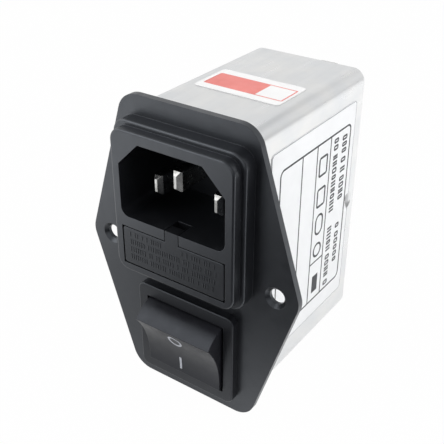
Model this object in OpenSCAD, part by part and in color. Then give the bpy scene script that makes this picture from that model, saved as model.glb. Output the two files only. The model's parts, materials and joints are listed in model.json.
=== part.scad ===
// Panel inlet with mains filter: inlet socket, fuse drawer, rocker switch and screened filter in one unit.
// The unit stands as it is fitted in an upright panel. X is across, Y runs from the front into the panel
// and Z is up. The origin lies midway between the two screw holes, on the rear face of the flange.

/* [Flange] */
// Width across the two side points
flange_w = 50.3; // [47:0.1:60]
// Height
flange_h = 65.3; // [64:0.1:75]
// Length of the straight top and bottom edges, before rounding
flange_top_w = 29.7; // [29.5:0.1:40]
// Thickness
flange_t = 1.4; // [1.2:0.1:3]
// Radius of the six corners in outline
flange_r = 4.8; // [2:0.1:6]
// Distance between the two screw holes
hole_pitch = 40; // [39:0.5:42]
// Diameter of the screw holes
hole_d = 3.2; // [2.8:0.1:3.6]
// Diameter of the countersink at the front face
sink_d = 4.6; // [4:0.1:5.4]
// Depth of the countersink
sink_depth = 0.7; // [0.4:0.1:1]

/* [Inlet block] */
// Width of the raised block
block_w = 28.05; // [27.5:0.05:30]
// Height of the raised block
block_h = 30.65; // [30:0.05:34]
// Height of the block's centre above the screw holes
block_z = 12.27; // [12:0.01:13]
// How far the block stands in front of the flange
block_proud = 5.1; // [4.5:0.1:8]
// Width of the ledge round the block
step_w = 1; // [0.6:0.1:1.5]
// How far the ledge stands in front of the flange
step_proud = 3; // [2:0.1:4]
// Corner radius of the block in outline
block_r = 2.7; // [1.5:0.1:4]
// Radius of the block's and the ledge's front edges
block_edge_r = 0.45; // [0.2:0.05:0.7]

/* [Inlet socket] */
// Width of the socket opening
inlet_w = 24.35; // [23.5:0.05:24.6]
// Height of the socket opening
inlet_h = 15.9; // [15.5:0.05:16.5]
// Height of the socket's centre above the screw holes
inlet_z = 17.43; // [17.2:0.01:17.8]
// Size of the two slanted upper corners
inlet_chamfer = 4.9; // [4:0.1:5.5]
// Radius of the two lower corners
inlet_r = 1.9; // [0.5:0.1:3]
// Depth of the socket behind the block's front
inlet_depth = 16.2; // [15.5:0.1:17]
// Distance between the live and the neutral blade
blade_pitch = 14; // [13.5:0.1:14.5]
// How far the earth blade stands above the other two
blade_rise = 4; // [3.5:0.1:4.5]
// Height of a blade's section
blade_w = 4; // [3.5:0.1:4.5]
// Thickness of a blade
blade_t = 2; // [1.6:0.1:2.2]
// Depth of the live and neutral tips behind the block's front
blade_tip = 4.5; // [4:0.1:7]
// How far the earth blade reaches beyond the other two
blade_lead = 2.9; // [0.5:0.1:3]
// Bevel at the blade tips
blade_bevel = 0.7; // [0.3:0.1:0.9]

/* [Fuse drawer] */
// Width of the drawer front
drawer_w = 24; // [23.4:0.1:24.3]
// Height of the drawer front
drawer_h = 8.15; // [7.9:0.05:8.2]
// Height of the drawer's centre above the screw holes
drawer_z = 2.93; // [2.9:0.01:3]
// Gap between the drawer and its opening, all round
drawer_gap = 0.25; // [0.15:0.01:0.28]
// Thickness of the drawer front
drawer_front = 2.3; // [1.8:0.1:2.4]
// Width of the pull tab that reaches up to the socket
pull_w = 3.1; // [2.6:0.1:4]
// Depth of the finger notch behind the pull tab
notch_depth = 4.3; // [3.6:0.1:5]
// Diameter of a fuse at its caps
fuse_d = 5.2; // [5:0.05:5.25]
// Length of a fuse
fuse_len = 20; // [19.5:0.1:20.5]
// Length of a fuse cap
cap_len = 5.5; // [4.5:0.1:6]
// Distance between the two fuses
fuse_pitch = 14; // [13.6:0.1:14.2]
// How far the drawer comes out
drawer_travel = 25; // [20:0.5:26]

/* [Switch] */
// Width of the switch frame
switch_w = 23.8; // [23.4:0.1:26]
// Height of the switch frame
switch_h = 21.65; // [21.2:0.05:22.5]
// Gap between the switch's clips and the floor of the case
switch_gap = 0.5; // [0.4:0.05:0.8]
// How far the frame's centre lies above the rocker's pivot
frame_lift = 0.2; // [0:0.05:0.4]
// How far the frame stands in front of the flange
switch_proud = 1.85; // [1.7:0.05:2.5]
// Corner radius of the frame in outline
switch_r = 1.6; // [0.8:0.1:2.5]
// Radius of the frame's front edge
switch_edge_r = 0.3; // [0.1:0.05:0.5]
// Width of the rocker
rocker_w = 18.4; // [17:0.1:18.6]
// Radius of the rocker's two rounded ends about its pivot
rocker_r = 8.1; // [7.6:0.05:8.3]
// Radius of the rocker's hollow face
face_r = 18; // [14:0.5:26]
// Distance from the pivot to the middle of the hollow face
face_dist = 3.5; // [3.2:0.1:4]
// Depth of the pivot behind the flange's front face
pivot_depth = 0.1; // [0:0.05:0.6]
// Full swing from one end to the other, in degrees
rocker_swing = 33; // [24:1:36]
// Diameter of the rocker's two pivot pins
pivot_d = 2.6; // [2:0.1:2.8]
// Gap between the rocker and its window, all round
rocker_gap = 0.2; // [0.15:0.05:0.4]

/* [Case] */
// Width of the metal case
case_w = 27.8; // [27.6:0.1:29]
// Height of the metal case
case_h = 60.4; // [60:0.1:62]
// Depth of the case behind the flange
case_len = 42.5; // [41:0.1:60]
// Radius of the four long edges
case_r = 2.8; // [1.5:0.1:4]
// Radius of the rear edges
case_rear_r = 0.8; // [0.7:0.1:1.5]
// Sheet thickness
case_t = 0.6; // [0.4:0.1:0.8]
// Diameter of the dent in each side
dent_d = 4.4; // [3:0.1:5]
// Depth of the dent
dent_depth = 0.8; // [0.4:0.1:1]
// Distance from the dent's centre to the rear face
dent_back = 3.9; // [3.3:0.1:6]

/* [Rear terminals] */
// Width of a connection tab
tab_w = 6.3; // [4.8:0.1:6.4]
// Thickness of a connection tab
tab_t = 0.8; // [0.5:0.1:0.9]
// Length of a tab beyond the rear face
tab_len = 10.3; // [8:0.1:12]
// Height of the earth tab above the screw holes
earth_z = 25.8; // [24:0.1:27]
// Distance between the live and the neutral tab
out_pitch = 11; // [9:0.5:12]
// Height of the live and neutral tabs relative to the screw holes
out_z = -4; // [-5:0.5:-3]
// Diameter of the earth rivet's shank
rivet_d = 2.9; // [2.4:0.1:3]

/* [Filter] */
// Thickness of the circuit board
board_t = 1.6; // [1:0.1:2]
// Depth of the board's front face behind the flange
board_y = 22; // [21.6:0.1:23]
// Outer diameter of the choke core
core_od = 17; // [14:0.5:18]
// Inner diameter of the choke core
core_id = 9.5; // [8:0.5:10]
// Height of the choke core
core_h = 7.5; // [5:0.5:8]
// Wire diameter of the choke
wire_d = 1; // [0.7:0.1:1]
// Turns on each side of the choke
turns = 9; // [6:1:10]
// Height of the choke's centre above the screw holes
choke_z = 15; // [14:0.5:16]

/* [Labels] */
// Height of the side label
label_h = 47.5; // [20:0.5:48]
// Height of the side label's centre above the screw holes
label_z = 0.75; // [0:0.05:2]
// Front edge of the side label, behind the flange
label_front = 5.5; // [4:0.5:12]
// Gap from the side label to the rear face
label_back = 3.5; // [3:0.1:6]
// Width of the top sticker
sticker_w = 19.65; // [12:0.05:20]
// Length of the top sticker
sticker_len = 10.95; // [8:0.05:14]
// Front edge of the top sticker, behind the flange
sticker_front = 14.05; // [8:0.05:24]
// Thickness of both labels
label_t = 0.12; // [0.08:0.01:0.2]

/* [Hidden] */
$fn = 48;
fit = 0.05;
play = 0.15;
front_y = -flange_t;
block_y = front_y - block_proud;
shroud_w = case_w - 2 * case_t - 2 * play;
inlet_bottom = inlet_z - inlet_h / 2;
inlet_top = inlet_z + inlet_h / 2;
inlet_floor = block_y + inlet_depth;
wall = 1.5;
line_z = inlet_z - blade_rise / 2;
earth_pin_z = inlet_z + blade_rise / 2;
line_tip = block_y + blade_tip;
earth_tip = line_tip - blade_lead;
drawer_bottom = drawer_z - drawer_h / 2;
drawer_top = drawer_z + drawer_h / 2;
well_bottom = drawer_bottom - drawer_gap;
well_top = drawer_top + drawer_gap;
plate_back = block_y + drawer_front;
fuse_front = plate_back + 0.4;
fuse_back = fuse_front + fuse_len;
carrier_back = fuse_back + 1.3;
well_end = carrier_back + 0.7;
shroud_back = well_end + wall;
clip_t = 0.45;
clip_w = 4;
floor_t = 0.95;
pivot_y = front_y + pivot_depth;
frame_y = front_y - switch_proud;
rest_tilt = rocker_swing / 2;
window_w = rocker_w + 4 * rocker_gap;
window_h = 2 * (rocker_r + rocker_gap);
window_end = pivot_y + rocker_r + 0.9;
switch_wall = 1.1;
body_w = window_w + 2 * switch_wall;
body_h = window_h + 2 * switch_wall;
switch_back = 7;
body_end = window_end + switch_back;
clip_rise = 0.9;
clip_span = 6;
rocker_z = -(case_h / 2 - case_t - switch_gap - clip_rise - body_h / 2);
switch_z = rocker_z + frame_lift;
pin_end = rocker_w / 2 + 2 * rocker_gap + 0.6;
pole_x = 6;
pole_z = 5;
spring_d = 2.6;
pole_wall = 0.8;
pole_len = 7;
spring_wire = 0.4;
plunger_tip = 6.4;
bar_t = 0.8;
bar_w = 3;
bar_tail = 3.6;
bar_seat = 0.3;
bar_tilt = 10;
bar_dist = plunger_tip + 0.3 + bar_t;
mark_x = -0.65;
mark_line = 0.52;
ring_z = 3;
ring_r = 1.72;
dash_z = -4.1;
dash_len = 3;
collar_end = 5;
seat_depth = 0.4;
board_end = board_y + board_t;
board_w = case_w - 2 * case_t - 0.8;
board_h = case_h - 2 * case_t - 1;
tail_end = board_end + 0.7;
tail_t = 0.8;
tail_w = 2.4;
tab_end = case_len + tab_len;
plate_w = 20;
plate_h = 11;
rear_inner = case_len - case_t;
wind_gap = 0.1;
layer = 0.35;
wrap = wire_d + wind_gap;
choke_y = tail_end + 0.4 + wrap + core_h / 2;
turn_arc = 140;
dent_r = (dent_d * dent_d / 4 + dent_depth * dent_depth) / (2 * dent_depth);
dent_x = case_w / 2 - dent_depth + dent_r;
dent_y = case_len - dent_back;
dent_z = 0.6;
x_cap = [18, 12, 8];
cap_gap = 1.2;
resistor_d = 2.4;
y_cap_d = 7;
y_cap_t = 3.2;
lead_d = 0.6;
strap_w = 5;
rivet_drop = 4.6;
y_cap_x = 5.5;
y_cap_leads = 4.4;
x_cap_leads = 15;
resistor_leads = 9.2;
strap_t = 0.5;
strap_drop = 2.7;
strap_len = 9;
foot_r = 3.2;

// ---- shapes used by several pieces ----

function heading(a, b) = atan2(b[1] - a[1], b[0] - a[0]);

// Corner centres of a rectangle w by h with corner radius r, centred at [x, y]
function corners(w, h, r, at = [0, 0]) = [
    for (s = [[-1, -1], [1, -1], [1, 1], [-1, 1]])
        at + [s[0] * (w / 2 - r), s[1] * (h / 2 - r)]
];

// Corner centres of the six-sided flange, from its lower left corner round
function flange_corners() =
    let (
        slant = atan2(flange_w / 2 - flange_top_w / 2, flange_h / 2),
        side = flange_w / 2 - flange_r / cos(slant),
        end_x = flange_top_w / 2 - flange_r * tan((90 - slant) / 2),
        end_z = flange_h / 2 - flange_r
    )
    [[-end_x, -end_z], [end_x, -end_z], [side, 0], [end_x, end_z], [-end_x, end_z], [-side, 0]];

// A convex outline with round corners, from its corner centres and radius
module outline(centres, r) {
    n = len(centres);
    polygon(centres);
    for (i = [0 : n - 1])
        translate(centres[i])
            circle(r);
    for (i = [0 : n - 1])
        translate(centres[i])
            rotate(heading(centres[i], centres[(i + 1) % n]))
                translate([0, -r])
                    square([norm(centres[(i + 1) % n] - centres[i]), r + 0.01]);
}

module rounded(w, h, r) {
    outline(corners(w, h, r), r);
}

module quarter(r) {
    intersection() {
        circle(r);
        square(r);
    }
}

// The same outline as a plate of depth d whose front edge is rounded all the way round
module soft_plate(centres, r, d, edge) {
    n = len(centres);
    linear_extrude(d - edge)
        outline(centres, r);
    linear_extrude(d)
        outline(centres, r - edge);
    for (i = [0 : n - 1]) {
        before = heading(centres[(i + n - 1) % n], centres[i]);
        after = heading(centres[i], centres[(i + 1) % n]);
        translate([centres[i][0], centres[i][1], d - edge]) {
            rotate([0, 0, before - 90])
                rotate_extrude(angle = (after - before + 720) % 360)
                    translate([r - edge, 0])
                        quarter(edge);
            rotate([0, 0, after])
                rotate([90, 0, 90])
                    linear_extrude(norm(centres[(i + 1) % n] - centres[i]))
                        translate([edge - r, 0])
                            mirror([1, 0])
                                quarter(edge);
        }
    }
}

// Stands a drawing in X and Z up, and gives it depth from y0 back to y1
module upright(y0, y1) {
    translate([0, y1, 0])
        rotate([90, 0, 0])
            linear_extrude(y1 - y0)
                children();
}

// Puts a shape that grows along Z so that it grows forwards from y
module forwards(y) {
    translate([0, y, 0])
        rotate([90, 0, 0])
            children();
}

// Gives a drawing in Y and Z its width along X, centred on x
module sideways(x, w) {
    translate([x - w / 2, 0, 0])
        rotate([90, 0, 90])
            linear_extrude(w)
                children();
}

// Gives a drawing in X and Y its height along Z, centred on z
module level(z, h) {
    translate([0, 0, z - h / 2])
        linear_extrude(h)
            children();
}

// The same, growing backwards from y
module backwards(y) {
    translate([0, y, 0])
        mirror([0, 1, 0])
            rotate([90, 0, 0])
                children();
}

module box_between(a, b) {
    translate(a)
        cube(b - a);
}

module both_sides() {
    for (side = [0, 1])
        mirror([side, 0, 0])
            children();
}

// ---- moulded front housing ----

module inlet_outline(grow = 0) {
    w = inlet_w / 2 + grow;
    low = inlet_bottom - grow;
    high = inlet_top + grow;
    c = inlet_chamfer + grow * 0.6;
    polygon([
        [-w, low + inlet_r], [-w, high - c], [-w + c, high],
        [w - c, high], [w, high - c], [w, low + inlet_r]
    ]);
    translate([0, (low + high - c) / 2])
        rounded(2 * w, high - c - low, inlet_r);
}

module screw_hole(x) {
    translate([x, 0, 0]) {
        translate([0, 1, 0])
            rotate([90, 0, 0])
                cylinder(d = hole_d, h = flange_t + 2);
        translate([0, front_y - 0.001, 0])
            rotate([-90, 0, 0])
                cylinder(d1 = sink_d, d2 = hole_d, h = sink_depth);
    }
}

module blade_slot(x, z, w, t) {
    upright(inlet_floor - 1, inlet_floor + wall + 1)
        translate([x, z])
            square([t, w], center = true);
}

module housing_rib(x) {
    sideways(x, 1.2)
        polygon([
            [inlet_floor + wall - 0.2, well_top],
            [shroud_back, well_top],
            [shroud_back, well_top + wall + 1],
            [inlet_floor + wall - 0.2, inlet_top - inlet_chamfer]
        ]);
}

// The groove in the back of the flange that the case's front edge stands in
module case_seat() {
    inset = case_t + fit;
    upright(-seat_depth, 0.5)
        difference() {
            rounded(case_w + 2 * fit, case_h + 2 * fit, case_r + fit);
            rounded(case_w - 2 * inset, case_h - 2 * inset, case_r - inset);
        }
}

module housing() {
    color("#1d1e20")
    difference() {
        union() {
            forwards(0)
                linear_extrude(flange_t)
                    outline(flange_corners(), flange_r);
            forwards(front_y)
                soft_plate(
                    corners(block_w + 2 * step_w, block_h + 2 * step_w, block_r + step_w / 2, [0, block_z]),
                    block_r + step_w / 2, step_proud, block_edge_r
                );
            forwards(front_y - step_proud)
                soft_plate(
                    corners(block_w, block_h, block_r, [0, block_z]),
                    block_r, block_proud - step_proud, block_edge_r
                );
            upright(-0.01, inlet_floor + wall)
                intersection() {
                    inlet_outline(wall);
                    translate([0, inlet_z])
                        square([shroud_w, inlet_h + 2 * wall], center = true);
                }
            upright(-0.01, shroud_back)
                translate([-shroud_w / 2, well_bottom - wall])
                    square([shroud_w, well_top - well_bottom + 2 * wall]);
            upright(-0.01, collar_end)
                translate([0, switch_z])
                    rounded(shroud_w, switch_h - 1.2, 1);
            both_sides()
                housing_rib(shroud_w / 2 - 1.1);
        }
        upright(block_y - 1, inlet_floor)
            inlet_outline();
        box_between(
            [-drawer_w / 2 - drawer_gap, block_y - 1, well_bottom],
            [drawer_w / 2 + drawer_gap, well_end, well_top]
        );
        box_between(
            [-pull_w / 2 - 0.15, block_y - 1, well_top - 1],
            [pull_w / 2 + 0.15, block_y + notch_depth, inlet_bottom + 1]
        );
        upright(front_y - 1, collar_end + 1)
            translate([0, rocker_z])
                square([body_w + 2 * play, body_h + 2 * play], center = true);
        case_seat();
        for (x = [-1, 1] * hole_pitch / 2)
            screw_hole(x);
        for (x = [-1, 1] * blade_pitch / 2)
            blade_slot(x, line_z, blade_w + 2 * fit, blade_t + 2 * fit);
        blade_slot(0, earth_pin_z, blade_w + 2 * fit, blade_t + 2 * fit);
        both_sides() {
            upright(well_end - 1, shroud_back + 1)
                translate([fuse_pitch / 2, well_top - clip_t / 2 - fit])
                    square([clip_w + 2 * fit, clip_t + 2 * fit], center = true);
            upright(well_end - 1, shroud_back + 1)
                translate([rear_clip_x(), drawer_z])
                    square([clip_t + 2 * fit, clip_w + 2 * fit], center = true);
        }
    }
}

// ---- socket blades ----

// A flat blade with a bevelled tip that narrows behind the socket floor to a solder tail
module blade(x, z, tip) {
    shoulder = inlet_floor + wall + 1.5;
    b = blade_bevel;
    color("#c9ccd0")
    intersection() {
        sideways(x, blade_t)
            translate([0, z])
                polygon([
                    [tip, -blade_w / 2 + b], [tip + b, -blade_w / 2], [shoulder, -blade_w / 2],
                    [shoulder, -tail_w / 2], [tail_end, -tail_w / 2], [tail_end, tail_w / 2],
                    [shoulder, tail_w / 2], [shoulder, blade_w / 2], [tip + b, blade_w / 2],
                    [tip, blade_w / 2 - b]
                ]);
        level(z, blade_w + 1)
            translate([x, 0])
                polygon([
                    [-blade_t / 2 + b, tip], [blade_t / 2 - b, tip], [blade_t / 2, tip + 1.4 * b],
                    [blade_t / 2, shoulder], [tail_t / 2, shoulder], [tail_t / 2, tail_end],
                    [-tail_t / 2, tail_end], [-tail_t / 2, shoulder], [-blade_t / 2, shoulder],
                    [-blade_t / 2, tip + 1.4 * b]
                ]);
    }
}

module blade_live() {
    blade(-blade_pitch / 2, line_z, line_tip);
}

module blade_neutral() {
    blade(blade_pitch / 2, line_z, line_tip);
}

module blade_earth() {
    blade(0, earth_pin_z, earth_tip);
}

// ---- fuse drawer, fuses and contact clips ----

module fuse_drawer() {
    low = drawer_bottom + 0.05;
    rail = drawer_w / 2 - 0.3;
    color("#232427")
    difference() {
        union() {
            forwards(plate_back)
                soft_plate(
                    corners(drawer_w, drawer_h, 0.5, [0, drawer_z]),
                    0.5, drawer_front, 0.15
                );
            upright(block_y, plate_back)
                translate([-pull_w / 2, drawer_z])
                    square([pull_w, inlet_bottom - drawer_z]);
            box_between([-rail, plate_back - 0.5, low], [rail, carrier_back, low + floor_t]);
            both_sides() {
                box_between([rail - 0.8, plate_back - 0.5, low], [rail, fuse_back - 5, drawer_z + 2]);
                box_between(
                    [fuse_pitch / 2 - 2.9, plate_back - 0.5, low],
                    [fuse_pitch / 2 + 2.3, carrier_back, drawer_z - 1]
                );
                box_between(
                    [fuse_pitch / 2 - 2.9, carrier_back - 1, low],
                    [fuse_pitch / 2 + 2.3, carrier_back, drawer_z + 0.4]
                );
                box_between([1.7, plate_back - 0.5, low], [2.6, fuse_back - 4, drawer_z + 3]);
            }
        }
        for (x = [-1, 1] * fuse_pitch / 2)
            translate([x, plate_back, drawer_z])
                rotate([-90, 0, 0])
                    cylinder(d = fuse_d + 2 * fit, h = fuse_back + 0.3 - plate_back);
        for (x = [-1, 1] * fuse_pitch / 2)
            for (y = [fuse_front + 3, fuse_front + fuse_len / 2, fuse_back - 3])
                translate([x, y, low - 1])
                    cylinder(d = 2, h = 3);
        box_between([-0.9, plate_back + 2, low - 1], [0.9, fuse_back - 4, drawer_z]);
    }
}

module fuse_place(x) {
    translate([x, fuse_front, drawer_z])
        rotate([-90, 0, 0])
            children();
}

module fuse_glass(x) {
    color("#dfe6e6")
    fuse_place(x)
        translate([0, 0, 0.5])
            difference() {
                cylinder(d = fuse_d - 0.6, h = fuse_len - 1);
                translate([0, 0, -1])
                    cylinder(d = fuse_d - 1.8, h = fuse_len + 2);
            }
}

module fuse_caps(x) {
    color("#c8c5b8")
    fuse_place(x)
        for (far = [0, 1])
            translate([0, 0, far * fuse_len])
                mirror([0, 0, far])
                    rotate_extrude()
                        polygon([
                            [0.3, 0], [fuse_d / 2 - 0.3, 0], [fuse_d / 2, 0.3], [fuse_d / 2, cap_len],
                            [fuse_d / 2 - 0.25, cap_len], [fuse_d / 2 - 0.25, 0.45], [0.3, 0.45]
                        ]);
}

module fuse_wire(x) {
    color("#b98a4a")
    fuse_place(x)
        translate([0, 0, 0.1])
            cylinder(d = 0.5, h = fuse_len - 0.2, $fn = 24);
}

module fuse_live_glass() {
    fuse_glass(-fuse_pitch / 2);
}

module fuse_live_caps() {
    fuse_caps(-fuse_pitch / 2);
}

module fuse_live_wire() {
    fuse_wire(-fuse_pitch / 2);
}

module fuse_neutral_glass() {
    fuse_glass(fuse_pitch / 2);
}

module fuse_neutral_caps() {
    fuse_caps(fuse_pitch / 2);
}

module fuse_neutral_wire() {
    fuse_wire(fuse_pitch / 2);
}

function rear_clip_x() = fuse_pitch / 2 + fuse_d / 2 + fit + clip_t / 2;

// The strip under the well's roof, with a round bump that presses on the front cap
module clip_front(x) {
    roof = well_top - fit;
    bump = roof - clip_t / 2 - (drawer_z + fuse_d / 2 + fit);
    bump_y = fuse_front + cap_len / 2;
    color("#b9bcc2")
    sideways(x, clip_w)
        difference() {
            union() {
                translate([bump_y - bump - 1.2, roof - clip_t])
                    square([tail_end - bump_y + bump + 1.2, clip_t]);
                intersection() {
                    translate([bump_y, roof - clip_t / 2])
                        circle(bump);
                    translate([bump_y - 5, roof - 5])
                        square([10, 5]);
                }
            }
            translate([bump_y, roof - clip_t / 2])
                circle(bump - clip_t);
        }
}

// The upright strip beside a fuse that presses on the rear cap
module clip_rear(x, out) {
    color("#b9bcc2")
    difference() {
        sideways(x, clip_t)
            translate([0, drawer_z])
                polygon([
                    [fuse_back - cap_len + 0.4, -clip_w / 2 + 0.8], [fuse_back - cap_len + 1.2, -clip_w / 2],
                    [shroud_back + 0.5, -clip_w / 2], [shroud_back + 0.5, -tail_w / 2],
                    [tail_end, -tail_w / 2], [tail_end, tail_w / 2], [shroud_back + 0.5, tail_w / 2],
                    [shroud_back + 0.5, clip_w / 2], [fuse_back - cap_len + 1.2, clip_w / 2],
                    [fuse_back - cap_len + 0.4, clip_w / 2 - 0.8]
                ]);
        translate([x - out * clip_t / 2, fuse_back - cap_len, drawer_z - clip_w])
            rotate([0, 0, 45])
                translate([-0.3, -0.3, 0])
                    cube([0.6, 0.6, 2 * clip_w]);
    }
}

module clip_live_front() {
    clip_front(-fuse_pitch / 2);
}

module clip_neutral_front() {
    clip_front(fuse_pitch / 2);
}

module clip_live_rear() {
    clip_rear(-rear_clip_x(), -1);
}

module clip_neutral_rear() {
    clip_rear(rear_clip_x(), 1);
}

// ---- rocker switch ----

module switch_frame() {
    color("#1b1c1e")
    difference() {
        union() {
            forwards(front_y)
                soft_plate(
                    corners(switch_w, switch_h, switch_r, [0, switch_z]),
                    switch_r, switch_proud, switch_edge_r
                );
            upright(front_y - 0.01, body_end)
                translate([0, rocker_z])
                    rounded(body_w, body_h, 0.6);
            for (up = [0, 1])
                translate([0, 0, rocker_z])
                    mirror([0, 0, up])
                        sideways(0, clip_span)
                            polygon([
                                [collar_end + 0.2, body_h / 2 - 0.1],
                                [collar_end + 0.2, body_h / 2 + clip_rise],
                                [collar_end + 5, body_h / 2 - 0.1]
                            ]);
        }
        upright(frame_y - 1, window_end)
            translate([0, rocker_z])
                square([window_w, window_h], center = true);
        translate([-pin_end - 0.1, pivot_y, rocker_z])
            rotate([0, 90, 0])
                cylinder(d = pivot_d + 2 * fit, h = 2 * pin_end + 0.2);
        for (x = [-1, 1] * pole_x)
            for (z = [0, pole_z])
                upright(window_end - 1, body_end + 1)
                    translate([x, rocker_z + z])
                        square([tail_t + 2 * fit, 3.6 + 2 * fit], center = true);
    }
}

// The rocker's section about its pivot, standing level: Y to the right and Z up
module rocker_section(r, dist, back) {
    difference() {
        intersection() {
            circle(r, $fn = 96);
            translate([-r - 1, -r - 1])
                square([r + 1 + back, 2 * r + 2]);
        }
        translate([-dist - face_r, 0])
            circle(face_r, $fn = 128);
    }
}

module rocker_at_rest() {
    translate([0, pivot_y, rocker_z])
        rotate([rest_tilt, 0, 0])
            children();
}

// A round post standing in the rocker over each pole, from y0 back to y1
module over_poles(y0) {
    for (x = [-1, 1] * pole_x)
        translate([x, y0, 0])
            rotate([-90, 0, 0])
                children();
}

module rocker() {
    shell = 1.3;
    color("#1a1b1d")
    rocker_at_rest()
        difference() {
            union() {
                difference() {
                    sideways(0, rocker_w)
                        rocker_section(rocker_r, face_dist, 3.2);
                    sideways(0, rocker_w - 2 * shell)
                        rocker_section(rocker_r - shell, face_dist - shell, 4);
                }
                sideways(0, 1.2)
                    rocker_section(rocker_r - 0.5, face_dist - 0.5, 2.6);
                over_poles(-2.4)
                    cylinder(d = spring_d + 2 * pole_wall, h = pole_len);
                both_sides()
                    translate([rocker_w / 2 - 0.5, 0, 0])
                        rotate([0, 90, 0])
                            cylinder(d = pivot_d, h = pin_end - rocker_w / 2 + 0.5);
            }
            over_poles(-1.2)
                cylinder(d = spring_d + 2 * fit, h = pole_len);
        }
}

// The coils, drawn as closed rings one on the next
module rocker_springs() {
    wire = spring_wire;
    color("#b7babf")
    rocker_at_rest()
        over_poles(-1.2 + fit)
            rotate_extrude($fn = 32)
                for (i = [0 : 7])
                    translate([spring_d / 2 - wire / 2 - fit, wire / 2 + i * wire * 0.9])
                        circle(d = wire, $fn = 8);
}

module rocker_plungers() {
    ball = spring_d / 2;
    start = -1.2 + fit + spring_wire + 7 * 0.9 * spring_wire + 0.02;
    color("#d8d4c6")
    rocker_at_rest()
        over_poles(0) {
            translate([0, 0, start])
                cylinder(r = ball, h = plunger_tip - ball - start);
            translate([0, 0, plunger_tip - ball])
                sphere(ball, $fn = 32);
        }
}

// Two strips, each seated on a round nose, that tip away from the end the plungers press on
module contact_bars() {
    color("#c98f52")
    translate([0, pivot_y + bar_dist, rocker_z])
        rotate([-bar_tilt, 0, 0])
            for (x = [-1, 1] * pole_x)
                sideways(x, bar_w)
                    difference() {
                        polygon([
                            [-bar_t, -bar_tail], [0, -bar_tail], [0, pole_z + 1],
                            [-bar_t + 0.2, pole_z + 1], [-bar_t, pole_z + 0.6]
                        ]);
                        circle(bar_seat, $fn = 32);
                    }
}

// The ring and the bar, a skin on the hollow face
module rocker_marks() {
    skin = 0.05;
    color("#c9cbcd")
    rocker_at_rest()
        intersection() {
            sideways(0, rocker_w)
                difference() {
                    translate([-face_dist - face_r, 0])
                        circle(face_r, $fn = 128);
                    translate([-face_dist - face_r, 0])
                        circle(face_r - skin, $fn = 128);
                }
            upright(-rocker_r, 0) {
                translate([mark_x, ring_z])
                    difference() {
                        circle(ring_r);
                        circle(ring_r - mark_line);
                    }
                translate([mark_x, dash_z])
                    square([mark_line, dash_len], center = true);
            }
        }
}

// Behind each bar a tab with the round nose it sits on, and a tab with the rounded end it closes on
module switch_tabs() {
    axis = pivot_y + bar_dist;
    closed = axis + pole_z * tan(bar_tilt) + 0.06;
    color("#c3c6cb")
    for (x = [-1, 1] * pole_x) {
        sideways(x, tail_t)
            translate([0, rocker_z]) {
                switch_tab(axis + 0.62, axis + 0.1, 0.15);
                translate([axis, 0])
                    circle(bar_seat - fit, $fn = 32);
            }
        sideways(x, tail_t)
            translate([0, rocker_z + pole_z])
                switch_tab(closed + 0.4, closed, 0.3);
    }
}

// A tab's outline, from its end at y0 back to the board
module switch_tab(shoulder, y0, end) {
    polygon([
        [y0, -end], [shoulder, -tail_w / 2], [shoulder + 0.5, -tail_w * 0.75],
        [body_end + 2, -tail_w * 0.75], [body_end + 2, -tail_w / 2],
        [tail_end, -tail_w / 2], [tail_end, tail_w / 2],
        [body_end + 2, tail_w / 2], [body_end + 2, tail_w * 0.75],
        [shoulder + 0.5, tail_w * 0.75], [shoulder, tail_w / 2], [y0, end]
    ]);
}

// ---- metal case ----

module dents(r) {
    both_sides()
        translate([dent_x, dent_y, dent_z])
            sphere(r, $fn = 64);
}

module case() {
    inner_w = case_w - 2 * case_t;
    inner_h = case_h - 2 * case_t;
    color("#c4c6c8")
    difference() {
        union() {
            difference() {
                backwards(fit - seat_depth)
                    soft_plate(
                        corners(case_w, case_h, case_r), case_r,
                        case_len + seat_depth - fit, case_rear_r
                    );
                upright(-1, rear_inner)
                    rounded(inner_w, inner_h, case_r - case_t);
            }
            intersection() {
                dents(dent_r + case_t);
                box_between([-inner_w / 2 - 0.1, 0, -10], [inner_w / 2 + 0.1, case_len, 10]);
            }
        }
        dents(dent_r);
        upright(rear_inner - 1, case_len + 1)
            translate([0, out_z])
                rounded(plate_w, plate_h, 1);
        translate([0, rear_inner - 1, rivet_z()])
            rotate([-90, 0, 0])
                cylinder(d = rivet_d + 2 * fit, h = case_t + 2);
    }
}

// ---- rear terminals ----

function rivet_z() = earth_z - rivet_drop;

module terminal_plate() {
    color("#202124")
    difference() {
        union() {
            upright(rear_inner - 1.6, rear_inner - fit)
                translate([0, out_z])
                    rounded(plate_w + 4, plate_h + 3, 1.5);
            upright(rear_inner - 1, case_len + 1.2)
                translate([0, out_z])
                    rounded(plate_w - 2 * play, plate_h - 2 * play, 1 - play);
            for (x = [-1, 1] * out_pitch / 2)
                backwards(case_len)
                    soft_plate(corners(4.2, 9, 0.8, [x, out_z]), 0.8, 2.8, 0.4);
        }
        for (x = [-1, 1] * out_pitch / 2)
            upright(rear_inner - 3, case_len + 4)
                translate([x, out_z])
                    square([tab_t + 2 * fit, tab_w + 2 * fit], center = true);
    }
}

// A push-on tab with a pointed end and a detent hole, on a tail that is soldered to the board
module out_tab(x) {
    color("#ccced2")
    difference() {
        sideways(x, tab_t)
            translate([0, out_z])
                polygon([
                    [board_y - 0.7, -tail_w / 2], [rear_inner - 3, -tail_w / 2],
                    [rear_inner - 3, -tab_w / 2], [tab_end - 1.2, -tab_w / 2],
                    [tab_end, -tab_w / 2 + 1.2], [tab_end, tab_w / 2 - 1.2],
                    [tab_end - 1.2, tab_w / 2], [rear_inner - 3, tab_w / 2],
                    [rear_inner - 3, tail_w / 2], [board_y - 0.7, tail_w / 2]
                ]);
        translate([x - 1, tab_end - 3.6, out_z])
            rotate([0, 90, 0])
                cylinder(d = 1.7, h = 2);
    }
}

module tab_live() {
    out_tab(-out_pitch / 2);
}

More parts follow.
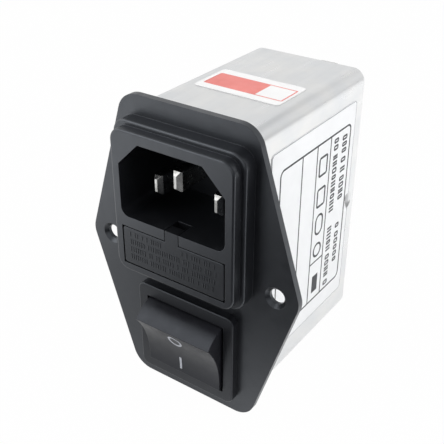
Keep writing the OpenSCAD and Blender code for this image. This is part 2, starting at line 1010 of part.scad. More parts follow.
module tab_neutral() {
    out_tab(out_pitch / 2);
}

// The earth tab is bent from a foot that is riveted to the rear face
module tab_earth() {
    foot = rivet_z() - foot_r;
    color("#ccced2")
    difference() {
        intersection() {
            sideways(0, tab_w)
                polygon([
                    [case_len, foot], [case_len + tab_t, foot],
                    [case_len + tab_t, earth_z - tab_t / 2], [tab_end, earth_z - tab_t / 2],
                    [tab_end, earth_z + tab_t / 2], [case_len, earth_z + tab_t / 2]
                ]);
            level(earth_z - 4, 12)
                polygon([
                    [-tab_w / 2, case_len], [tab_w / 2, case_len], [tab_w / 2, tab_end - 1.2],
                    [tab_w / 2 - 1.2, tab_end], [-tab_w / 2 + 1.2, tab_end], [-tab_w / 2, tab_end - 1.2]
                ]);
        }
        translate([0, tab_end - 3.6, earth_z - 1])
            cylinder(d = 1.7, h = 2);
        translate([0, case_len - 1, rivet_z()])
            rotate([-90, 0, 0])
                cylinder(d = rivet_d + 2 * fit, h = 3);
    }
}

module earth_rivet() {
    color("#b5b7ba")
    translate([0, 0, rivet_z()])
        rotate([-90, 0, 0])
            rotate_extrude()
                polygon([
                    [0, rear_inner - 0.8], [1.9, rear_inner - 0.8], [2.1, rear_inner - 0.5],
                    [2.1, rear_inner - 0.02], [rivet_d / 2, rear_inner - 0.02],
                    [rivet_d / 2, case_len + tab_t + 0.02], [2.5, case_len + tab_t + 0.02],
                    [2.4, case_len + tab_t + 0.5], [1.9, case_len + tab_t + 0.9],
                    [1, case_len + tab_t + 1.1], [0, case_len + tab_t + 1.15]
                ]);
}

module earth_strap() {
    roof = case_h / 2 - case_t - 0.1;
    color("#c3c6cb")
    sideways(0, strap_w)
        polygon([
            [board_y - 0.7, roof - strap_drop - strap_t], [board_end + strap_t, roof - strap_drop - strap_t],
            [board_end + strap_t, roof - strap_t], [board_end + strap_len, roof - strap_t],
            [board_end + strap_len + strap_t, roof - strap_t / 2], [board_end + strap_len, roof],
            [board_end, roof], [board_end, roof - strap_drop], [board_y - 0.7, roof - strap_drop]
        ]);
}

// ---- filter board and its parts ----

module lead(x, z, from_y) {
    translate([x, board_y - 0.6, z])
        rotate([-90, 0, 0])
            cylinder(d = lead_d, h = from_y - board_y + 0.6, $fn = 16);
}

module lead_hole(x, z, d = lead_d) {
    translate([x, board_y - 1, z])
        rotate([-90, 0, 0])
            cylinder(d = d + 2 * fit, h = board_t + 2, $fn = 16);
}

module board_slot(x, z, w, h) {
    upright(board_y - 1, board_end + 1)
        translate([x, z])
            square([w + 2 * fit, h + 2 * fit], center = true);
}

module circuit_board() {
    color("#2f6b45")
    difference() {
        upright(board_y, board_end)
            rounded(board_w, board_h, 2);
        for (x = [-1, 1] * blade_pitch / 2)
            board_slot(x, line_z, tail_t, tail_w);
        board_slot(0, earth_pin_z, tail_t, tail_w);
        for (x = [-1, 1] * fuse_pitch / 2)
            board_slot(x, well_top - fit - clip_t / 2, clip_w, clip_t);
        for (x = [-1, 1] * rear_clip_x())
            board_slot(x, drawer_z, clip_t, tail_w);
        for (x = [-1, 1] * pole_x)
            for (z = [0, pole_z])
                board_slot(x, rocker_z + z, tail_t, tail_w);
        for (x = [-1, 1] * out_pitch / 2)
            board_slot(x, out_z, tab_t, tail_w);
        board_slot(0, case_h / 2 - case_t - 0.1 - strap_drop - strap_t / 2, strap_w, strap_t);
        for (end = choke_ends())
            lead_hole(end[0], end[1], wire_d);
        for (x = [-1, 1] * x_cap_leads / 2)
            lead_hole(x, x_cap_z());
        for (x = [-1, 1] * y_cap_x)
            for (s = [-1, 1])
                lead_hole(x + s * y_cap_leads / 2, y_cap_z());
        for (x = [-1, 1] * resistor_leads / 2)
            lead_hole(x, resistor_z());
    }
}

function resistor_z() = -board_h / 2 + 1 + resistor_d / 2;

function x_cap_z() = resistor_z() + resistor_d / 2 + cap_gap + x_cap[2] / 2;

function y_cap_z() = x_cap_z() + x_cap[2] / 2 + y_cap_t / 2 + 3.3;

function choke_ends() = [
    for (side = [-1, 1])
        for (up = [-1, 1])
            [
                side * (core_od / 2 - 1.2) * cos(turn_arc / 2 - 4),
                choke_z + up * (core_od / 2 - 1.2) * sin(turn_arc / 2 - 4)
            ]
];

module core_section(grow) {
    translate([(core_od + core_id) / 4, 0])
        rounded((core_od - core_id) / 2 + 2 * grow, core_h + 2 * grow, 0.6 + grow);
}

module choke_place() {
    translate([0, choke_y, choke_z])
        rotate([-90, 0, 0])
            children();
}

module choke_core() {
    color("#3a4148")
    choke_place()
        rotate_extrude($fn = 72)
            core_section(0);
}

// One winding: a thin bed with the turns raised on it, and two ends that go down to the board
module winding(side) {
    step = turn_arc / turns;
    color("#b4662f")
    union() {
        choke_place()
            mirror([side < 0 ? 1 : 0, 0, 0]) {
                rotate([0, 0, -turn_arc / 2])
                    rotate_extrude(angle = turn_arc - step * 0.4)
                        difference() {
                            core_section(wind_gap + layer, $fn = 12);
                            core_section(wind_gap, $fn = 12);
                        }
                for (i = [0 : turns - 1])
                    rotate([0, 0, -turn_arc / 2 + i * step])
                        rotate_extrude(angle = step * 0.6)
                            difference() {
                                core_section(wrap, $fn = 12);
                                core_section(wind_gap, $fn = 12);
                            }
            }
        for (end = choke_ends())
            if (end[0] * side > 0)
                translate([end[0], board_y - 0.6, end[1]])
                    rotate([-90, 0, 0])
                        cylinder(
                            d = wire_d,
                            h = choke_y - core_h / 2 - wind_gap - 0.1 - board_y + 0.6,
                            $fn = 24
                        );
    }
}

module choke_live() {
    winding(-1);
}

module choke_neutral() {
    winding(1);
}

module line_capacitor() {
    color("#d9b23a")
    union() {
        backwards(tail_end + 0.3)
            soft_plate(corners(x_cap[0], x_cap[2], 0.8, [0, x_cap_z()]), 0.8, x_cap[1], 0.5);
        for (x = [-1, 1] * x_cap_leads / 2)
            lead(x, x_cap_z(), tail_end + 1);
    }
}

module earth_capacitor(x) {
    y = board_end + 1 + y_cap_d / 2;
    color("#3f74b5")
    union() {
        translate([x, y, y_cap_z()])
            rotate_extrude()
                intersection() {
                    rounded(y_cap_d, y_cap_t, 1.3);
                    translate([0, -y_cap_t])
                        square(2 * y_cap_d);
                }
        for (s = [-1, 1])
            lead(x + s * y_cap_leads / 2, y_cap_z(), y - 1);
    }
}

module earth_capacitor_live() {
    earth_capacitor(-y_cap_x);
}

module earth_capacitor_neutral() {
    earth_capacitor(y_cap_x);
}

module bleed_resistor() {
    y = board_end + 1.7;
    color("#c9b48c")
    union() {
        translate([-3.2, y, resistor_z()])
            rotate([0, 90, 0])
                rotate_extrude()
                    polygon([[0, 0], [0.9, 0], [1.2, 0.3], [1.2, 1.5], [1, 1.9], [1, 4.5], [1.2, 4.9],
                        [1.2, 6.1], [0.9, 6.4], [0, 6.4]]);
        translate([-resistor_leads / 2, y, resistor_z()])
            rotate([0, 90, 0])
                cylinder(d = lead_d, h = resistor_leads, $fn = 16);
        for (x = [-1, 1] * resistor_leads / 2) {
            lead(x, resistor_z(), y);
            translate([x, y, resistor_z()])
                sphere(d = lead_d, $fn = 24);
        }
    }
}

// ---- labels ----

module side_label() {
    x = case_w / 2;
    end = case_len - label_back;
    color("#f1f2f3")
    intersection() {
        union() {
            difference() {
                translate([x, 0, 0])
                    sideways(label_t / 2, label_t)
                        translate([(label_front + end) / 2, label_z])
                            rounded(end - label_front, label_h, 1);
                dents(dent_r);
            }
            difference() {
                intersection() {
                    dents(dent_r);
                    box_between([0, 0, -10], [x + label_t, case_len, 10]);
                }
                dents(dent_r - label_t);
            }
        }
        box_between([0, label_front, label_z - label_h / 2], [x + label_t, end, label_z + label_h / 2]);
    }
}

module top_sticker() {
    color("#f4f4f4")
    translate([-0.15, sticker_front + sticker_len / 2, case_h / 2])
        linear_extrude(label_t)
            rounded(sticker_w, sticker_len, 0.9);
}

housing();
case();
blade_live();
blade_neutral();
blade_earth();
fuse_drawer();
fuse_live_glass();
fuse_live_caps();
fuse_live_wire();
fuse_neutral_glass();
fuse_neutral_caps();
fuse_neutral_wire();
clip_live_front();
clip_live_rear();
clip_neutral_front();
clip_neutral_rear();
switch_frame();
rocker();
rocker_marks();
rocker_springs();
rocker_plungers();
contact_bars();
switch_tabs();
circuit_board();
choke_core();
choke_live();
choke_neutral();
line_capacitor();
earth_capacitor_live();
earth_capacitor_neutral();
bleed_resistor();
terminal_plate();
tab_live();
tab_neutral();
tab_earth();
earth_rivet();
earth_strap();
side_label();
top_sticker();
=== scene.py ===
"""Finishes, print, floor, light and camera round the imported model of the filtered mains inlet."""

import json
import math
import random

import bpy
from mathutils import Euler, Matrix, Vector


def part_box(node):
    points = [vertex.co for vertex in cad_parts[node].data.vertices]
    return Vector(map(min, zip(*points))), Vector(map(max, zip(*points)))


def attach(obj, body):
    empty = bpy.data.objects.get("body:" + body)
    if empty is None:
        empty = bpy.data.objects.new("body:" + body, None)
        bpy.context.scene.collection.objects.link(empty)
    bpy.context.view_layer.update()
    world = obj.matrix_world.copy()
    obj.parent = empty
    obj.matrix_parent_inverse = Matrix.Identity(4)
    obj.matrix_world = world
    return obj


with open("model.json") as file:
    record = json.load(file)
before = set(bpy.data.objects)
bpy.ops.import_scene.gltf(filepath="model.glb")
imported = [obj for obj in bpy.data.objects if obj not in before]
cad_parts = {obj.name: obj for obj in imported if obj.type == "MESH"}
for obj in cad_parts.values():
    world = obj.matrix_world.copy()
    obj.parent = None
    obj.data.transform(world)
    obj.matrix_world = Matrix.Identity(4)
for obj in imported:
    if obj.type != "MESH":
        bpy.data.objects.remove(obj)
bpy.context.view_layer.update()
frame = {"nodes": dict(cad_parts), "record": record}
NODES = frame["nodes"]
MM = 0.001

# Every finish by its name
FINISHES = {}

# Tint of the sheen on all moulded plastic
SHEEN = (0.84, 0.905, 1.0)

# The two dents in the case's sides: the place of their middles, how far out their floors lie and
# how far from the middle they reach. Their floors get painted shade.
case_low, case_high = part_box("case")
DENT = Vector((0, case_high.y - 3.9 * MM, 0.6 * MM))
DENT_FLOOR = case_high.x - 0.75 * MM
DENT_REACH = (2.0 * MM, 2.4 * MM)
# Colour of the painted shade on the dents' floors
DENT_SHADE = (0.3, 0.3, 0.31)


# ---- node helpers -------------------------------------------------------------------------------


class Nodes:
    """A node tree being built."""

    def __init__(self, tree):
        self.tree = tree

    def node(self, kind, **values):
        made = self.tree.nodes.new(kind)
        for key, value in values.items():
            setattr(made, key, value)
        return made

    def link(self, a, b):
        self.tree.links.new(a, b)

    def spread(self, value, low, high, from_low=0.3, from_high=0.7, ease="LINEAR"):
        """From low, where value is from_low or less, to high, where it is from_high or more."""
        made = self.node("ShaderNodeMapRange", interpolation_type=ease)
        limits = {"From Min": from_low, "From Max": from_high, "To Min": low, "To Max": high}
        for key, limit in limits.items():
            made.inputs[key].default_value = limit
        self.link(value, made.inputs["Value"])
        return made.outputs["Result"]

    def blend(self, factor, a, b):
        """Colour a where factor is 0 and b where it is 1. Each is fixed or comes from a node."""
        made = self.node("ShaderNodeMix", data_type="RGBA")
        for key, colour in (("A", a), ("B", b)):
            if isinstance(colour, tuple):
                made.inputs[key].default_value = (*colour, 1)
            else:
                self.link(colour, made.inputs[key])
        self.link(factor, made.inputs["Factor"])
        return made.outputs["Result"]

    def maths(self, operation, a, b):
        made = self.node("ShaderNodeMath", operation=operation)
        self.link(a, made.inputs[0])
        self.link(b, made.inputs[1])
        return made.outputs[0]

    def product(self, a, b):
        return self.maths("MULTIPLY", a, b)

    def larger(self, a, b):
        return self.maths("MAXIMUM", a, b)

    def axes(self, vector):
        """The vector's outputs X, Y and Z."""
        made = self.node("ShaderNodeSeparateXYZ")
        self.link(vector, made.inputs[0])
        return made.outputs

    def either_shader(self, factor, a, b, output):
        """Shader a where factor is 0 and b where it is 1, into the tree's output node."""
        made = self.node("ShaderNodeMixShader")
        self.link(factor, made.inputs["Fac"])
        self.link(a.outputs[0], made.inputs[1])
        self.link(b.outputs[0], made.inputs[2])
        self.link(made.outputs[0], self.tree.nodes[output].inputs["Surface"])


class Finish(Nodes):
    """A material being built: a shader, the piece's own coordinates and a few patterns on them."""

    def __init__(self, name, **sockets):
        self.material = bpy.data.materials.new(name)
        self.material.use_nodes = True
        super().__init__(self.material.node_tree)
        self.shader = self.tree.nodes["Principled BSDF"]
        self.coords = self.node("ShaderNodeTexCoord").outputs["Object"]
        for key, value in sockets.items():
            fixed = (*value, 1) if isinstance(value, tuple) else value
            self.shader.inputs[key.replace("_", " ")].default_value = fixed
        FINISHES[name] = self.material

    def noise(self, size_mm, detail, along=(1, 1, 1)):
        """A noise whose blotches are about size_mm across, stretched by the inverse of along."""
        mapping = self.node("ShaderNodeMapping")
        mapping.inputs["Scale"].default_value = along
        self.link(self.coords, mapping.inputs["Vector"])
        made = self.node("ShaderNodeTexNoise")
        made.inputs["Scale"].default_value = 1 / (size_mm * MM)
        made.inputs["Detail"].default_value = detail
        made.inputs["Roughness"].default_value = 0.55
        self.link(mapping.outputs["Vector"], made.inputs["Vector"])
        return made.outputs["Fac"]

    def colour(self, value):
        self.link(value, self.shader.inputs["Base Color"])

    def roughness(self, value):
        self.link(value, self.shader.inputs["Roughness"])

    def relief(self, layers, edge_mm=0.0):
        """Bumps of the given patterns and depths in mm, over edges that are broken by edge_mm."""
        normal = None
        if edge_mm:
            soft = self.node("ShaderNodeBevel", samples=6)
            soft.inputs["Radius"].default_value = edge_mm * MM
            normal = soft.outputs["Normal"]
        for height, depth_mm in layers:
            bump = self.node("ShaderNodeBump")
            bump.inputs["Distance"].default_value = depth_mm * MM
            self.link(height, bump.inputs["Height"])
            if normal is not None:
                self.link(normal, bump.inputs["Normal"])
            normal = bump.outputs["Normal"]
        self.link(normal, self.shader.inputs["Normal"])


# ---- kinds of finish ----------------------------------------------------------------------------


def moulding(name, dark, light, rough, shine=0.5, grain_mm=0.35, grain_depth=0.012, edge_mm=0.12):
    """Moulded plastic from an eroded tool: fine grain, slow changes of gloss, broken edges."""
    f = Finish(name, Specular_IOR_Level=shine, Specular_Tint=SHEEN)
    f.colour(f.blend(f.spread(f.noise(9, 2), 0, 1), dark, light))
    f.roughness(f.spread(f.noise(2.2, 4), rough - 0.05, rough + 0.06))
    f.relief([(f.noise(grain_mm, 4), grain_depth)], edge_mm)


def in_a_dent(f):
    """1 on the deep part of the two dents pressed into the case's sides, where shade is painted, 0
    elsewhere.
    """
    place = f.axes(f.coords)
    beside = f.node("ShaderNodeCombineXYZ")
    f.link(place["Y"], beside.inputs["Y"])
    f.link(place["Z"], beside.inputs["Z"])
    away = f.node("ShaderNodeVectorMath", operation="DISTANCE")
    f.link(beside.outputs[0], away.inputs[0])
    away.inputs[1].default_value = DENT
    outwards = f.node("ShaderNodeMath", operation="ABSOLUTE")
    f.link(place["X"], outwards.inputs[0])
    near = f.spread(away.outputs["Value"], 1, 0, *DENT_REACH)
    deep = f.spread(outwards.outputs[0], 1, 0, DENT_FLOOR, DENT_FLOOR + 0.5 * MM)
    return f.product(near, deep)


def sheet_metal(name, dark, light, rough):
    """Rolled sheet: streaks along the rolling direction, cloudy sheen, painted shade in the dents.
    """
    f = Finish(name, Metallic=0.92)
    unshaded = f.blend(f.spread(f.noise(7, 3), 0, 1), dark, light)
    # Painted shade: the dents' floors are darkened towards the dent colour
    f.colour(f.blend(in_a_dent(f), unshaded, DENT_SHADE))
    f.roughness(f.spread(f.noise(0.9, 2, along=(1, 0.06, 1)), rough - 0.04, rough + 0.05))
    f.relief([(f.noise(0.4, 2), 0.0006), (f.noise(12, 2), 0.015)], edge_mm=0.08)


def plated(name, dark, light, rough):
    """Bright plating on a stamped part: nearly even, with light wear in the gloss."""
    f = Finish(name, Metallic=1.0)
    f.colour(f.blend(f.spread(f.noise(1.6, 4), 0, 1), dark, light))
    f.roughness(f.spread(f.noise(0.7, 5), rough - 0.05, rough + 0.09))
    f.relief([(f.noise(0.5, 3), 0.004)], edge_mm=0.06)


def paper(name, dark, light, rough):
    """Satin label stock, or ink on it."""
    f = Finish(name)
    f.colour(f.blend(f.spread(f.noise(5, 3), 0, 1), dark, light))
    f.roughness(f.spread(f.noise(1.5, 3), rough - 0.04, rough + 0.05))
    f.relief([(f.noise(0.25, 2), 0.002), (f.noise(6, 2), 0.012)])


def lacquer(name, dark, light, rough, lump_mm=1.5, lump=0.03):
    """A dipped or moulded coat that isn't quite even."""
    f = Finish(name, Coat_Weight=0.3)
    f.colour(f.blend(f.spread(f.noise(2, 3), 0, 1), dark, light))
    f.roughness(f.spread(f.noise(1.2, 3), rough - 0.05, rough + 0.08))
    f.relief([(f.noise(lump_mm, 2), lump)], edge_mm=0.1)


def clear_glass(name):
    f = Finish(name, Transmission_Weight=1.0, IOR=1.5)
    f.colour(f.blend(f.noise(3, 2), (0.90, 0.95, 0.94), (0.96, 0.98, 0.98)))
    f.roughness(f.spread(f.noise(1.5, 2), 0.02, 0.06))
    f.relief([(f.noise(4, 2), 0.01)])


def coated_board(name):
    """Coated board: woven glass under the coat, copper tracks as slightly lighter fields."""
    f = Finish(name, Coat_Weight=0.4)
    weave = f.node("ShaderNodeTexChecker")
    weave.inputs["Scale"].default_value = 1 / (0.5 * MM)
    f.link(f.coords, weave.inputs["Vector"])
    tracks = f.spread(f.noise(6, 0), 0, 1, 0.47, 0.49)
    f.colour(f.blend(tracks, (0.02, 0.09, 0.045), (0.035, 0.15, 0.07)))
    f.roughness(f.spread(f.noise(2, 3), 0.3, 0.42))
    f.relief([(weave.outputs["Fac"], 0.004), (tracks, 0.03)], edge_mm=0.1)


# ---- finishes, each with its darkest and lightest colour and its roughness ----------------------

moulding("black_moulding", (0.006, 0.0064, 0.0078), (0.008, 0.0085, 0.0102), 0.33, shine=0.8)
moulding("drawer_moulding", (0.0055, 0.0059, 0.0071), (0.0075, 0.008, 0.0095), 0.35, shine=0.62)
moulding("switch_moulding", (0.006, 0.0062, 0.0078), (0.008, 0.0083, 0.010), 0.35)
moulding("rocker_moulding", (0.0078, 0.0078, 0.0102), (0.0096, 0.0096, 0.0124), 0.36, shine=0.44,
         grain_mm=0.25, grain_depth=0.006, edge_mm=0.2)
moulding("plate_moulding", (0.012, 0.012, 0.014), (0.018, 0.018, 0.02), 0.5)
moulding("plunger_plastic", (0.6, 0.56, 0.46), (0.68, 0.64, 0.54), 0.4)

sheet_metal("case_steel", (0.675, 0.69, 0.705), (0.745, 0.745, 0.737), 0.31)
plated("blade_metal", (0.3, 0.3, 0.29), (0.66, 0.66, 0.65), 0.2)
plated("tab_metal", (0.44, 0.44, 0.43), (0.6, 0.6, 0.58), 0.27)
plated("tinned_metal", (0.56, 0.56, 0.54), (0.72, 0.72, 0.7), 0.34)
plated("spring_steel", (0.4, 0.4, 0.4), (0.55, 0.55, 0.56), 0.3)
plated("contact_brass", (0.55, 0.36, 0.16), (0.68, 0.48, 0.24), 0.28)
plated("winding_copper", (0.45, 0.17, 0.06), (0.6, 0.26, 0.1), 0.25)
plated("cap_metal", (0.66, 0.64, 0.58), (0.8, 0.78, 0.72), 0.2)
plated("fuse_wire", (0.5, 0.36, 0.18), (0.62, 0.48, 0.28), 0.3)

lacquer("core_grey", (0.03, 0.033, 0.036), (0.05, 0.053, 0.058), 0.5, lump_mm=0.6, lump=0.02)
lacquer("capacitor_yellow", (0.62, 0.4, 0.05), (0.7, 0.47, 0.08), 0.32, lump_mm=4, lump=0.02)
lacquer("capacitor_blue", (0.04, 0.13, 0.36), (0.06, 0.18, 0.45), 0.3, lump=0.06)
lacquer("resistor_tan", (0.5, 0.36, 0.18), (0.58, 0.44, 0.25), 0.4)
coated_board("board_green")
clear_glass("fuse_glass")

paper("label_white", (0.86, 0.87, 0.885), (0.9, 0.91, 0.925), 0.42)
paper("sticker_white", (0.74, 0.74, 0.74), (0.78, 0.78, 0.78), 0.4)
paper("mark_white", (0.45, 0.47, 0.52), (0.55, 0.57, 0.62), 0.45)
paper("ink_black", (0.012, 0.014, 0.018), (0.025, 0.028, 0.034), 0.5)
paper("ink_red", (0.63, 0.165, 0.145), (0.71, 0.205, 0.18), 0.42)
paper("rim_grey", (0.3, 0.31, 0.33), (0.4, 0.41, 0.43), 0.6)

for part in frame["record"]["subparts"]:
    mesh = NODES[part["node"]].data
    mesh.materials.clear()
    mesh.materials.append(FINISHES[part["material_slot"]])


# ---- helpers for print and moulded rows, which are thin pieces ----------------------------------


def only(*objects):
    """Object mode, with just these selected and the first one active."""
    if bpy.context.object and bpy.context.object.mode != "OBJECT":
        bpy.ops.object.mode_set(mode="OBJECT")
    bpy.ops.object.select_all(action="DESELECT")
    for o in objects:
        o.select_set(True)
    bpy.context.view_layer.objects.active = objects[0]


def settle(piece):
    """The piece's place goes into its mesh."""
    only(piece)
    bpy.ops.object.transform_apply(location=True, rotation=True, scale=True)


def block(low, high):
    """A block between two corners, in metres."""
    low, high = Vector(low), Vector(high)
    bpy.ops.object.select_all(action="DESELECT")
    bpy.ops.mesh.primitive_cube_add(size=1, location=(low + high) / 2)
    made = bpy.context.object
    made.scale = high - low
    settle(made)
    return made


def ring_frame(size, width, depth, corner):
    """A flat rounded frame about the middle, in the XY plane, growing along Z, in metres."""
    bpy.ops.object.select_all(action="DESELECT")
    bpy.ops.mesh.primitive_plane_add(size=1, location=(0, 0, 0))
    made = bpy.context.object
    made.scale = (*size, 1)
    settle(made)
    bpy.ops.object.mode_set(mode="EDIT")
    bpy.ops.mesh.select_all(action="SELECT")
    bpy.ops.mesh.bevel(offset=corner, segments=6, affect="VERTICES")
    bpy.ops.mesh.select_all(action="SELECT")
    bpy.ops.mesh.inset(thickness=width)
    bpy.ops.mesh.delete(type="FACE")
    bpy.ops.mesh.select_all(action="SELECT")
    bpy.ops.mesh.extrude_region_move(TRANSFORM_OT_translate={"value": (0, 0, depth)})
    bpy.ops.mesh.select_all(action="SELECT")
    bpy.ops.mesh.normals_make_consistent(inside=False)
    bpy.ops.object.mode_set(mode="OBJECT")
    return made


def turned(piece, angles, place):
    """Puts a piece made about the middle, in the XY plane, where it belongs."""
    piece.rotation_euler = angles
    piece.location = place
    settle(piece)
    return piece


def joined(name, parts, finish, body):
    """One scene piece of several parts, which rides on the body."""
    only(*parts)
    bpy.ops.object.join()
    piece = bpy.context.object
    piece.name = name
    piece.data.name = name
    bpy.ops.object.origin_set(type="ORIGIN_CURSOR")
    piece.data.materials.clear()
    piece.data.materials.append(FINISHES[finish])
    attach(piece, body)


bpy.context.scene.cursor.location = (0, 0, 0)
INK = 0.015 * MM


# ---- side label: a frame, rules and plain outlines, with rows of hollow boxes and bars for words
# Places along Y and Z, sizes and line widths are in mm.

label_low, label_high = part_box("side_label")
ON_SIDE = (math.pi / 2, 0, math.pi / 2)

FRAME_Y, FRAME_Z = (8.6, 37.3), (-18.75, 20.15)
FRAME_LINE, FRAME_CORNER = 0.42, 1.5
RULES_Y = (17.0, 22.9, 28.5)
CROSS_RULE_Z = -8.45
RULE = 0.36
OUTLINE = 0.5
RIM, RIM_CORNER = 0.14, 1.0
# Outlines one under the other between two rules: Z of the middle, width, height, corner radius
OUTLINES = (
    (14.6, 3.6, 4.6, 0.7),
    (7.4, 3.6, 4.6, 0.7),
    (0.8, 3.4, 5.2, 1.69),
    (-5.6, 3.5, 3.6, 1.7),
)
# A filled block under them: half its width, then its lower and upper end
FILLED = (1.2, -16.6, -12.2)
# Rows of marks: Y of the middle, width, Z of the upper and lower end, seed
MARK_ROWS = (
    (30.9, 1.9, 18.8, 1.6, 3),
    (30.9, 1.9, -2.4, -17.0, 5),
    (34.7, 2.1, 18.2, 3.0, 7),
    (34.5, 1.7, -3.0, -12.6, 9),
)
MARK_LENGTHS = (1.0, 1.35)
MARK_LINE, MARK_CORNER, MARK_BAR = 0.42, 0.4, 0.46
BOX_SHARE = 0.65
MARK_GAP, WORD_GAP, WORD_SHARE = 0.42, 1.1, 0.18


def on_label(y0, y1, z0, z1):
    """A filled bar."""
    return block((label_high.x, y0 * MM, z0 * MM), (label_high.x + INK, y1 * MM, z1 * MM))


def outline_on_label(y, z, wide, tall, corner, line=OUTLINE):
    """A rounded outline about a middle."""
    ring = ring_frame((wide * MM, tall * MM), line * MM, INK, corner * MM)
    return turned(ring, ON_SIDE, (label_high.x, y * MM, z * MM))


def row_of_marks(y, tall, z_from, z_to, seed):
    """Hollow boxes and pairs of bars, one under the other with a few wider gaps."""
    draw = random.Random(seed)
    marks, z = [], z_from
    while z > z_to:
        length = draw.uniform(*MARK_LENGTHS)
        if draw.random() < BOX_SHARE:
            marks.append(outline_on_label(y, z - length / 2, tall, length, MARK_CORNER, MARK_LINE))
        else:
            for end in (z - MARK_BAR, z - length):
                marks.append(on_label(y - tall / 2, y + tall / 2, end, end + MARK_BAR))
        z -= length + (WORD_GAP if draw.random() < WORD_SHARE else MARK_GAP)
    return marks


label_parts = [
    outline_on_label(sum(FRAME_Y) / 2, sum(FRAME_Z) / 2, FRAME_Y[1] - FRAME_Y[0],
                     FRAME_Z[1] - FRAME_Z[0], FRAME_CORNER, FRAME_LINE)
]
for y in RULES_Y:
    label_parts.append(on_label(y - RULE / 2, y + RULE / 2, FRAME_Z[0] + RULE, FRAME_Z[1] - RULE))
label_parts.append(on_label(*RULES_Y[1:], CROSS_RULE_Z - RULE / 2, CROSS_RULE_Z + RULE / 2))
marks_y = sum(RULES_Y[1:]) / 2
for z, wide, tall, corner in OUTLINES:
    label_parts.append(outline_on_label(marks_y, z, wide, tall, corner))
label_parts.append(on_label(marks_y - FILLED[0], marks_y + FILLED[0], *FILLED[1:]))
for row in MARK_ROWS:
    label_parts += row_of_marks(*row)
joined("side_label_print", label_parts, "ink_black", "unit")

# A thin grey ring along the cut rim of the label: painted shade at its edge
label_middle = (label_low + label_high) / 2 / MM
label_size = (label_high - label_low) / MM
rim = outline_on_label(label_middle.y, label_middle.z, label_size.y, label_size.z, RIM_CORNER, RIM)
joined("side_label_rim", [rim], "rim_grey", "unit")


# ---- top sticker: a red field and a thin red outline, with nothing in them ----------------------

sticker_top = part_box("top_sticker")[1].z
RED_X, RED_Y = (-9.1 * MM, 9.1 * MM), (16.15 * MM, 22.65 * MM)
RED_LINE, RED_CORNER = 0.3 * MM, 0.35 * MM
FIELD_INSET = 0.1 * MM
FIELD_END = 2.95 * MM
red_outline = ring_frame((RED_X[1] - RED_X[0], RED_Y[1] - RED_Y[0]), RED_LINE, INK, RED_CORNER)
sticker_parts = [
    turned(red_outline, (0, 0, 0), (sum(RED_X) / 2, sum(RED_Y) / 2, sticker_top)),
    block((RED_X[0] + FIELD_INSET, RED_Y[0] + FIELD_INSET, sticker_top),
          (FIELD_END, RED_Y[1] - FIELD_INSET, sticker_top + INK)),
]
joined("top_sticker_print", sticker_parts, "ink_red", "unit")


# ---- drawer front: four rows of short moulded strokes, with no words ----------------------------

drawer_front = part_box("fuse_drawer")[0].y
STROKE = Vector((0.26, 0.06, 1.15)) * MM
STROKE_SUNK = 0.02 * MM
STROKE_GAPS = (0.26, 0.3, 0.34, 0.34, 0.9)
ROWS_START = -10.4 * MM
# Height and end of each row, in mm; the top row keeps clear of the pull tab
ROWS = ((5.75, 9.9), (4.05, 10.4), (2.35, 10.2), (0.65, 9.4))
PULL_CLEAR = 2.2 * MM

strokes = []
draw = random.Random(11)
for row, (z, end) in enumerate(ROWS):
    x = ROWS_START
    while x < end * MM:
        tall = STROKE.z * draw.uniform(0.8, 1.0)
        if row > 0 or abs(x) >= PULL_CLEAR:
            strokes.append(block((x, drawer_front - STROKE.y, z * MM - tall / 2),
                                 (x + STROKE.x, drawer_front + STROKE_SUNK, z * MM + tall / 2)))
        x += STROKE.x + draw.choice(STROKE_GAPS) * MM
joined("drawer_relief", strokes, "drawer_moulding", "drawer")


# ---- camera -------------------------------------------------------------------------------------

AIM = Vector((6.5, 0.65, 10.8)) * MM
EYE = Vector((77.89, -101.16, 83.86)) * MM
TURN, TIP, ROLL = 35.16, 30.46, -0.22
SENSOR_MM, LENS_MM = 36, 62.4

lens = bpy.data.cameras.new("camera")
lens.sensor_width = SENSOR_MM
lens.lens = LENS_MM
lens.clip_start = 0.01
camera = bpy.data.objects.new("camera", lens)
camera.location = EYE
camera.rotation_euler = Euler([math.radians(a) for a in (90 - TIP, ROLL, TURN)], "XYZ")
bpy.context.collection.objects.link(camera)
bpy.context.scene.camera = camera


# ---- floor: it leans so that the part rests on the flange's foot and the case's rear edge -------

FLOOR_SIZE = 4
FLOOR_GAP = 0.02 * MM
CASE_REAR_ROUND = 0.8 * MM

flange_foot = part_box("housing")[0].z
slope = math.atan2(case_low.z - flange_foot, case_high.y - CASE_REAR_ROUND)
bpy.ops.mesh.primitive_plane_add(size=FLOOR_SIZE, location=(0, 0, flange_foot - FLOOR_GAP))
floor = bpy.context.object
floor.name = "floor"
floor.rotation_euler = (slope, 0, 0)

# How strongly the floor glows to the eye and in a mirror; its own paper shows where it doesn't
GLOW_TO_THE_EYE, GLOW_IN_A_MIRROR = 0.985, 0.6
# Stretches of floor over which a mirror sees it change: from left to right in front of the part,
# from front to back, from left to right beside the part, and far off on the right
LEFT_TO_RIGHT = (-85 * MM, -5 * MM)
FRONT_TO_BACK = (-44 * MM, -3 * MM)
BESIDE = (-20 * MM, 30 * MM)
FAR_RIGHT = (400 * MM, 900 * MM)


def grey(value):
    return (value, value, value)


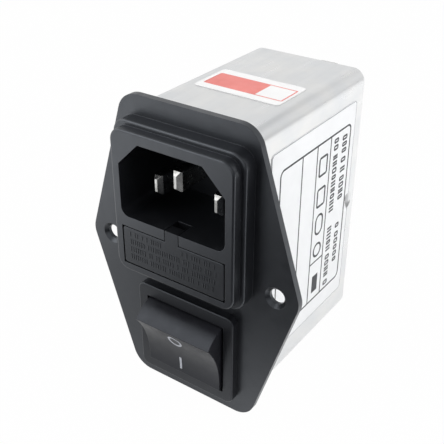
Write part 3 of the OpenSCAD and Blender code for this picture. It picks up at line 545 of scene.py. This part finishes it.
def floor_finish():
    """Evenly white to the eye. A mirror sees painted light and shade on it: bright at front left
    and beside the part on the right, a painted shadow at front right, and dimmer far off on the
    right.
    """
    f = Finish("floor_paper", Roughness=0.9)
    rays = f.node("ShaderNodeLightPath").outputs
    place = f.axes(f.coords)
    front = f.spread(place["Y"], 1, 0, *FRONT_TO_BACK)
    front_left = f.product(f.spread(place["X"], 1, 0, *LEFT_TO_RIGHT), front)
    front_right = f.product(f.spread(place["X"], 0, 1, *LEFT_TO_RIGHT), front)
    # Painted light and shade for mirrors only: brighter beside the part on the right, a painted
    # pool of light at front left, a painted shadow at front right, dimmer far off
    mirrored = f.blend(f.spread(place["X"], 0, 1, *BESIDE), grey(0.88), grey(1.2))
    mirrored = f.blend(front_left, mirrored, grey(1.5))
    mirrored = f.blend(front_right, mirrored, (0.07, 0.07, 0.075))
    mirrored = f.blend(f.spread(place["X"], 0, 1, *FAR_RIGHT), mirrored, (0.3, 0.3, 0.31))
    f.colour(f.blend(rays["Is Glossy Ray"], grey(0.6), mirrored))
    glow = f.node("ShaderNodeEmission")
    f.link(f.blend(rays["Is Glossy Ray"], grey(1), mirrored), glow.inputs["Color"])
    to_the_eye = f.spread(rays["Is Camera Ray"], 0, GLOW_TO_THE_EYE, 0, 1)
    in_a_mirror = f.spread(rays["Is Glossy Ray"], 0, GLOW_IN_A_MIRROR, 0, 1)
    f.either_shader(f.larger(to_the_eye, in_a_mirror), f.shader, glow, "Material Output")
    return f.material


floor.data.materials.append(floor_finish())


# ---- light --------------------------------------------------------------------------------------

SOFT_LIGHT = 0.5
# How dim a mirror sees the room overhead and on the right, and the directions (along Z and X)
# between which it gets there
CEILING, OVERHEAD = 0.35, (0.5, 0.85)
WALL, RIGHTWARDS = 0.3, (0.6, 0.8)


def studio():
    """White to the eye and soft as light. A mirror sees it dimmer overhead and on the right."""
    world = bpy.data.worlds.new("studio")
    bpy.context.scene.world = world
    world.use_nodes = True
    sky = Nodes(world.node_tree)
    soft = sky.tree.nodes["Background"]
    soft.inputs["Strength"].default_value = SOFT_LIGHT
    bright = sky.node("ShaderNodeBackground")
    for background in (soft, bright):
        background.inputs["Color"].default_value = (1, 1, 1, 1)
    rays = sky.node("ShaderNodeLightPath").outputs
    way = sky.axes(sky.node("ShaderNodeTexCoord").outputs["Generated"])
    ceiling = sky.spread(way["Z"], 1.0, CEILING, *OVERHEAD, ease="SMOOTHSTEP")
    right_wall = sky.spread(way["X"], 1.0, WALL, *RIGHTWARDS, ease="SMOOTHSTEP")
    straight = sky.larger(rays["Is Camera Ray"], rays["Is Transmission Ray"])
    sky.link(sky.larger(sky.product(ceiling, right_wall), straight), bright.inputs["Strength"])
    seen = sky.larger(straight, rays["Is Glossy Ray"])
    sky.either_shader(seen, soft, bright, "World Output")


def soft_box(name, place, side, power, mirrored):
    """A square lamp that faces the middle of the part, in metres and watts."""
    lamp = bpy.data.lights.new(name, "AREA")
    lamp.shape = "SQUARE"
    lamp.size = side
    lamp.energy = power
    made = bpy.data.objects.new(name, lamp)
    made.location = place
    made.rotation_euler = (AIM - Vector(place)).to_track_quat("-Z", "Y").to_euler()
    made.visible_glossy = mirrored
    bpy.context.collection.objects.link(made)


studio()
soft_box("left_front_lamp", (-0.4, -0.3, 0.35), 0.5, 1.45, mirrored=True)
soft_box("left_fill_lamp", (-0.42, -0.28, 0.37), 0.5, 0.55, mirrored=False)
soft_box("top_lamp", (0.1, 0.02, 0.58), 0.5, 0.7, mirrored=False)
soft_box("right_lamp", (0.45, 0.0, 0.4), 0.35, 2.1, mirrored=False)

bpy.context.scene.view_settings.view_transform = "Standard"
